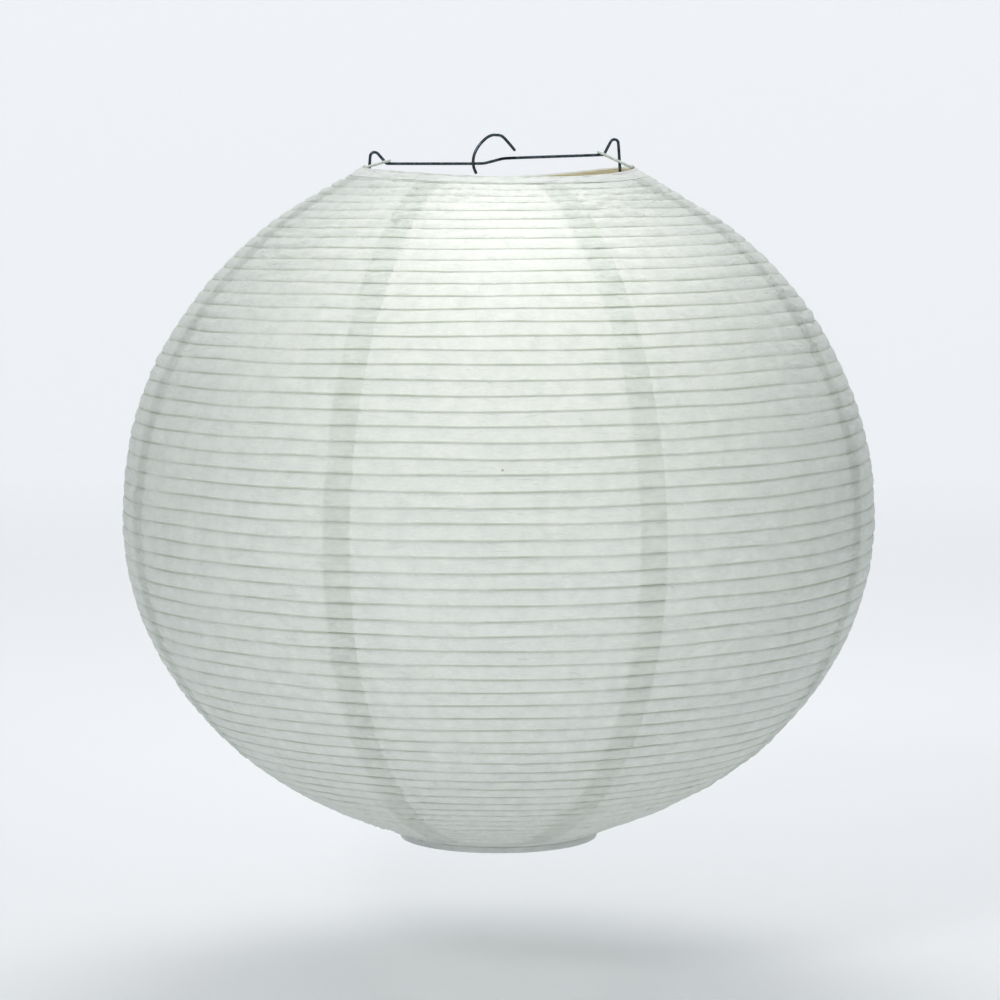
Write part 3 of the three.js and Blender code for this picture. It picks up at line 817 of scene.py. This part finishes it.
def bottom_skirt():
    """The closed band of paper that stands round the bottom hoop."""
    outer = BOTTOM_HOOP_INNER + HOOP_THICKNESS + 0.3 * MM + SKIRT_THICKNESS
    top = BOTTOM_PAPER_Z - 0.8 * MM
    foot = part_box("bottom_hem_band")[0].z
    bm = bmesh.new()
    section = bmesh.ops.create_circle(bm, cap_ends=False, segments=SKIRT_SIDES, radius=1.0)["verts"]
    for vert in section:
        across = outer - SKIRT_THICKNESS / 2 * (1 - squared(vert.co.x))
        vert.co = (across, 0, (top + foot) / 2 + (top - foot) / 2 * squared(vert.co.y))
    bmesh.ops.spin(bm, geom=section + list(bm.edges), cent=(0, 0, 0), axis=(0, 0, 1), dvec=(0, 0, 0),
                   angle=TURN, steps=2 * HOOP_STEPS, use_merge=True, use_duplicate=False)
    bmesh.ops.remove_doubles(bm, verts=bm.verts, dist=0.01 * MM)
    bmesh.ops.recalc_face_normals(bm, faces=bm.faces)
    piece = finished(bm, "washi_bottom_skirt", "bottom_rim", hem_washi, ["bottom_hem_band"])
    points = points_of(piece.data)
    azimuth = np.arctan2(points[:, 1], points[:, 0])
    points[:, 2] += 0.12 * MM * round_noise(azimuth, 60, 7.7)
    set_points(piece.data, points)
    add_uv(piece.data, azimuth * outer, points[:, 2])
    return piece


bottom_skirt()

# %% [markdown]
# ## Steel wire
#
# The frame and its hook are bright drawn steel wire, 2 mm thick. Drawing leaves it smooth with faint lines
# along it, and it shows as a dark bar with a thin bright edge, because it mirrors the room in a narrow
# strip. At the bar's middle the two ends were pressed together hot, which left a flat dark weld.
#
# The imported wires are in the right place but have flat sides. A copy is merged into one skin, its triangles
# are joined back to four-sided faces, and a subdivision surface makes it round. Subdividing an eight-sided
# bar draws it in by a known share, so it is swelled by that share first.

# %% Steel finish
WELD_LOW = 0.3 * MM
WELD_HIGH = 11.6 * MM
BAR_BOTTOM = -17 * MM
BAR_TOP = -11 * MM


def steel_finish():
    material, tree, output = new_finish("drawn_steel_wire")
    place = add_node(tree, "ShaderNodeTexCoord")
    parts = add_node(tree, "ShaderNodeSeparateXYZ", inputs={"Vector": place.outputs["Object"]})
    lines = add_node(tree, "ShaderNodeTexNoise", inputs={
        "Vector": place.outputs["Object"], "Scale": per_metre(1.5), "Detail": 4.0,
    })
    tone = add_node(tree, "ShaderNodeMapRange", inputs={
        "Value": lines.outputs["Fac"], "From Min": 0.35, "From Max": 0.65,
    })
    steel = add_node(tree, "ShaderNodeMix", {"data_type": "RGBA"}, {
        MIX_FACTOR: tone.outputs["Result"], MIX_FIRST: hex_colour("#333b42"),
        MIX_SECOND: hex_colour("#5c6973"),
    })
    past = add_node(tree, "ShaderNodeMath", {"operation": "SUBTRACT"}, {
        0: parts.outputs["X"], 1: (WELD_LOW + WELD_HIGH) / 2,
    })
    away = add_node(tree, "ShaderNodeMath", {"operation": "ABSOLUTE"}, {0: past.outputs[0]})
    at_weld = add_node(tree, "ShaderNodeMapRange", {"interpolation_type": "SMOOTHSTEP"}, {
        "Value": away.outputs[0], "From Min": 4.5 * MM, "From Max": 6.5 * MM, "To Min": 1.0, "To Max": 0.0,
    })
    high_up = add_node(tree, "ShaderNodeMath", {"operation": "GREATER_THAN"}, {
        0: parts.outputs["Z"], 1: BAR_BOTTOM,
    })
    low_down = add_node(tree, "ShaderNodeMath", {"operation": "LESS_THAN"}, {
        0: parts.outputs["Z"], 1: BAR_TOP,
    })
    on_bar = add_node(tree, "ShaderNodeMath", {"operation": "MULTIPLY"}, {
        0: high_up.outputs[0], 1: low_down.outputs[0],
    })
    weld = add_node(tree, "ShaderNodeMath", {"operation": "MULTIPLY"}, {
        0: at_weld.outputs["Result"], 1: on_bar.outputs[0],
    })
    colour = add_node(tree, "ShaderNodeMix", {"data_type": "RGBA"}, {
        MIX_FACTOR: weld.outputs[0], MIX_FIRST: steel.outputs[MIX_RESULT], MIX_SECOND: hex_colour("#23292e"),
    })
    rough = add_node(tree, "ShaderNodeMapRange", inputs={
        "Value": lines.outputs["Fac"], "From Min": 0.3, "From Max": 0.7, "To Min": 0.12, "To Max": 0.26,
    })
    surface = add_node(tree, "ShaderNodeBsdfPrincipled", inputs={
        "Base Color": colour.outputs[MIX_RESULT], "Metallic": 1.0, "Roughness": rough.outputs["Result"],
    })
    tree.links.new(surface.outputs["BSDF"], output.inputs["Surface"])
    return material


steel = steel_finish()

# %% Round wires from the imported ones
def round_copy(node, name, body, material, radius, sides):
    """A copy of a packed wire with a round section."""
    bm = bmesh.new()
    bm.from_mesh(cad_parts[node].data)
    bmesh.ops.remove_doubles(bm, verts=bm.verts, dist=0.005 * MM)
    bmesh.ops.join_triangles(bm, faces=bm.faces, angle_face_threshold=0.7, angle_shape_threshold=3.1)
    bmesh.ops.recalc_face_normals(bm, faces=bm.faces)
    bm.normal_update()
    drawn_in = (2 + math.cos(TURN / sides)) / 3
    for vert in bm.verts:
        vert.co += vert.normal * radius * (1 / drawn_in - 1)
    piece = finished(bm, name, body, material, [node])
    smooth = piece.modifiers.new("round", "SUBSURF")
    smooth.levels = 2
    smooth.render_levels = 2
    return piece


WIRE_RADIUS = 1.0 * MM
EAR_RADIUS = 0.85 * MM
WIRE_SIDES = 8
EAR_SIDES = 6
round_copy("frame_wire", "steel_frame_wire", "wire_frame", steel, WIRE_RADIUS, WIRE_SIDES)
round_copy("hanging_hook", "steel_hanging_hook", "wire_frame", steel, WIRE_RADIUS, WIRE_SIDES)

# %% [markdown]
# ## Ears and their ties
#
# The ears are wire too, but dipped in white lacquer that has gone a little green and grey. Each is tied to
# the hoop by two bands of waxed thread, five turns to a band. A thread's turns are a slot-shaped screw: the
# route goes over the ear's pin, down both sides of the hoop and under it, stepping aside as it goes.

# %% Lacquer and thread finishes
def plain_finish(name, first, second, spot_mm, roughness, bump_mm, sheen):
    """A finish with two close tones in spots of a given size, and a slight unevenness."""
    material, tree, output = new_finish(name)
    place = add_node(tree, "ShaderNodeTexCoord")
    spots = add_node(tree, "ShaderNodeTexNoise", inputs={
        "Vector": place.outputs["Object"], "Scale": per_metre(spot_mm), "Detail": 4.0,
    })
    share = add_node(tree, "ShaderNodeMapRange", inputs={
        "Value": spots.outputs["Fac"], "From Min": 0.4, "From Max": 0.65,
    })
    colour = add_node(tree, "ShaderNodeMix", {"data_type": "RGBA"}, {
        MIX_FACTOR: share.outputs["Result"], MIX_FIRST: hex_colour(first), MIX_SECOND: hex_colour(second),
    })
    uneven = add_node(tree, "ShaderNodeBump", inputs={
        "Strength": 0.4, "Distance": bump_mm * MM, "Height": spots.outputs["Fac"],
    })
    surface = add_node(tree, "ShaderNodeBsdfPrincipled", inputs={
        "Base Color": colour.outputs[MIX_RESULT], "Roughness": roughness, "IOR": 1.5,
        "Sheen Weight": sheen, "Normal": uneven.outputs["Normal"],
    })
    tree.links.new(surface.outputs["BSDF"], output.inputs["Surface"])
    return material


lacquer = plain_finish("white_lacquer_on_wire", "#cbd6cf", "#e6ece7", 3.0, 0.38, 0.05, 0.0)
waxed_thread = plain_finish("waxed_cotton_thread", "#d4d6ca", "#eceade", 0.5, 0.7, 0.12, 0.3)

round_copy("top_ear_left", "lacquered_ear_left", "left_ear", lacquer, EAR_RADIUS, EAR_SIDES)
round_copy("top_ear_right", "lacquered_ear_right", "right_ear", lacquer, EAR_RADIUS, EAR_SIDES)

# %% Thread ties
THREAD_RADIUS = 0.22 * MM
THREAD_TURNS = 5
THREAD_PITCH = 0.46 * MM
THREAD_SIDES = 6


def slot_route(low, high, radius):
    """Points round a slot: a half circle over the top, straight sides, and rounded corners below."""
    corner = 0.5 * MM
    points = [(radius * math.cos(a), high + radius * math.sin(a)) for a in np.linspace(0, math.pi, 9)]
    points += [(-radius, height) for height in np.linspace(high, low + corner, 5)[1:]]
    points += [(-radius + corner * (1 - math.cos(a)), low + corner * (1 - math.sin(a)))
               for a in np.linspace(0, math.pi / 2, 4)[1:]]
    points += [(radius - corner * (1 - math.sin(a)), low + corner * (1 - math.cos(a)))
               for a in np.linspace(0, math.pi / 2, 4)]
    points += [(radius, height) for height in np.linspace(low + corner, high, 5)[1:-1]]
    return points


def tie(node, name):
    low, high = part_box(node)
    middle = (low + high) / 2
    radius = (high.x - low.x) / 2 - THREAD_RADIUS
    slot = slot_route(low.z + THREAD_RADIUS, high.z - THREAD_RADIUS - radius, radius)
    route = []
    for turn in range(THREAD_TURNS):
        for i, (across, height) in enumerate(slot):
            aside = (turn + i / len(slot) - THREAD_TURNS / 2) * THREAD_PITCH
            route.append(Vector((middle.x + across, middle.y + aside, height)))
    bm = bmesh.new()
    ring = bmesh.ops.create_circle(bm, cap_ends=True, segments=THREAD_SIDES, radius=THREAD_RADIUS)["verts"]
    bmesh.ops.transform(bm, matrix=facing(route[0], route[1] - route[0]), verts=ring)
    edges = list(bm.edges)
    for i in range(1, len(route)):
        made = bmesh.ops.extrude_edge_only(bm, edges=edges)["geom"]
        verts = [item for item in made if isinstance(item, bmesh.types.BMVert)]
        edges = [item for item in made if isinstance(item, bmesh.types.BMEdge) and item.is_boundary]
        after = route[min(i + 1, len(route) - 1)]
        turn_by = facing(route[i], after - route[i - 1]) @ facing(
            route[i - 1], route[i] - route[max(i - 2, 0)]).inverted()
        bmesh.ops.transform(bm, matrix=turn_by, verts=verts)
    bmesh.ops.holes_fill(bm, edges=edges, sides=0)
    bmesh.ops.recalc_face_normals(bm, faces=bm.faces)
    return finished(bm, name, "shade", waxed_thread, [node])


def facing(point, direction):
    """A place at a point, square to a direction, with Y kept as the side that the turns step to."""
    forward = direction.normalized()
    side = Vector((0, 1, 0))
    up = forward.cross(side).normalized()
    side = up.cross(forward)
    return Matrix((
        (side.x, up.x, forward.x, point.x), (side.y, up.y, forward.y, point.y),
        (side.z, up.z, forward.z, point.z), (0, 0, 0, 1),
    ))


for side in ("left", "right"):
    for place in ("front", "back"):
        tie(f"ear_thread_{side}_{place}", f"thread_tie_{side}_{place}")

# %% [markdown]
# ## Studio
#
# The lantern hangs in a white studio, a hand's breadth above a pale floor that curves up behind it. The
# floor's paint is self-lit, a painted glow that is faint under the lantern and grows towards the back. A wide
# soft light overhead whitens the lantern's top, and a smaller, stronger one in front and to the left keeps its
# face clear.
# A small panel inside faces forward and gives the paper a faint glow high up without lighting the floor
# through the bottom opening. Three grey flags out of the picture take light off the sides and the front. None
# of this is part of the lantern.

# %% Floor
FLOOR_Z = cad_low.z - 95 * MM
FLOOR_HALF = 5.0
SWEEP = 1.2
NEAR_GLOW = 0.09
FAR_GLOW = 0.28


def studio_floor():
    bm = bmesh.new()
    bmesh.ops.create_grid(bm, x_segments=1, y_segments=1, size=FLOOR_HALF)
    back = [edge for edge in bm.edges if all(vert.co.y > 0 for vert in edge.verts)]
    made = bmesh.ops.extrude_edge_only(bm, edges=back)["geom"]
    risen = [item for item in made if isinstance(item, bmesh.types.BMVert)]
    bmesh.ops.translate(bm, verts=risen, vec=(0, 0, FLOOR_HALF))
    bmesh.ops.bevel(bm, geom=back, offset=SWEEP, affect="EDGES", segments=24, profile=0.5, material=-1)
    bmesh.ops.translate(bm, verts=bm.verts, vec=(0, 0, FLOOR_Z))
    mesh = bpy.data.meshes.new("studio_floor")
    bm.to_mesh(mesh)
    bm.free()
    mesh.polygons.foreach_set("use_smooth", [True] * len(mesh.polygons))
    floor = bpy.data.objects.new("studio_floor", mesh)
    scene.collection.objects.link(floor)
    material, tree, output = new_finish("matt_white_studio_paint_with_painted_glow")
    place = add_node(tree, "ShaderNodeTexCoord")
    parts = add_node(tree, "ShaderNodeSeparateXYZ", inputs={"Vector": place.outputs["Object"]})
    # Painted light: the paint glows on its own, faintly near the lantern and more towards the back, in place
    # of light falling on the floor and the sweep.
    glow = add_node(tree, "ShaderNodeMapRange", inputs={
        "Value": parts.outputs["Y"], "From Min": 0.5, "From Max": FLOOR_HALF,
        "To Min": NEAR_GLOW, "To Max": FAR_GLOW,
    })
    paint = add_node(tree, "ShaderNodeBsdfPrincipled", inputs={
        "Base Color": hex_colour("#e6e8ea"), "Roughness": 0.9,
        "Emission Color": hex_colour("#f6f7fa"), "Emission Strength": glow.outputs["Result"],
    })
    tree.links.new(paint.outputs["BSDF"], output.inputs["Surface"])
    mesh.materials.append(material)


studio_floor()

# %% Flags
FLAG_AWAY = 1.15
FLAG_HALF = 0.8
FRONT_FLAG_HALF = 1.3
flag_cloth, flag_tree, flag_output = new_finish("grey_flag_cloth")
cloth = add_node(flag_tree, "ShaderNodeBsdfPrincipled", inputs={
    "Base Color": hex_colour("#8d9194"), "Roughness": 0.9,
})
flag_tree.links.new(cloth.outputs["BSDF"], flag_output.inputs["Surface"])


def flag(name, place, turned, half):
    """A grey panel out of the picture, which takes light off one side of the lantern."""
    bm = bmesh.new()
    upright = Matrix.Translation(place) @ turned
    bmesh.ops.create_grid(bm, x_segments=1, y_segments=1, size=half, matrix=upright)
    mesh = bpy.data.meshes.new(name)
    bm.to_mesh(mesh)
    bm.free()
    panel = bpy.data.objects.new(name, mesh)
    scene.collection.objects.link(panel)
    panel.visible_camera = False
    mesh.materials.append(flag_cloth)


face_x = Matrix.Rotation(math.pi / 2, 4, "Y")
face_y = Matrix.Rotation(math.pi / 2, 4, "X")
flag("left_flag", (-FLAG_AWAY, -0.1, EQUATOR_Z), face_x, FLAG_HALF)
flag("right_flag", (FLAG_AWAY, -0.1, EQUATOR_Z), face_x, FLAG_HALF)
flag("front_flag", (0.3, -3.9, EQUATOR_Z), face_y, FRONT_FLAG_HALF)

# %% Lights
def soft_light(name, place, aim, width, height, power, colour="#ffffff"):
    lamp = bpy.data.lights.new(name, "AREA")
    lamp.shape = "RECTANGLE"
    lamp.size = width
    lamp.size_y = height
    lamp.energy = power
    lamp.color = hex_colour(colour)[:3]
    light = bpy.data.objects.new(name, lamp)
    scene.collection.objects.link(light)
    light.location = place
    light.rotation_euler = (Vector(aim) - Vector(place)).to_track_quat("-Z", "Y").to_euler()
    light.visible_camera = False


middle = Vector((0, 0, EQUATOR_Z))
soft_light("overhead_softbox", (0.1, 0.7, 1.3), middle, 1.0, 1.0, 11)
soft_light("front_softbox", (-1.3, -2.9, 1.7), middle, 0.6, 0.6, 22)
soft_light("inner_panel", (0.006, -0.06, -0.15), (0.006, -1, -0.1), 0.03, 0.05, 0.24, "#fffcf2")

studio = bpy.data.worlds.new("studio")
scene.world = studio
studio.use_nodes = True
studio.node_tree.nodes["Background"].inputs["Color"].default_value = hex_colour("#f6f7f9")
studio.node_tree.nodes["Background"].inputs["Strength"].default_value = 0.78
scene.view_settings.view_transform = "Standard"

# %% Camera
camera = bpy.data.objects.new("camera", bpy.data.cameras.new("camera"))
scene.collection.objects.link(camera)
camera.data.lens = 122.05
camera.data.sensor_width = 36
camera.data.clip_end = 50
camera.location = (0.001, -2.251, -0.0288)
camera.rotation_euler = (math.pi / 2 - math.radians(5.386), 0, 0)
scene.camera = camera
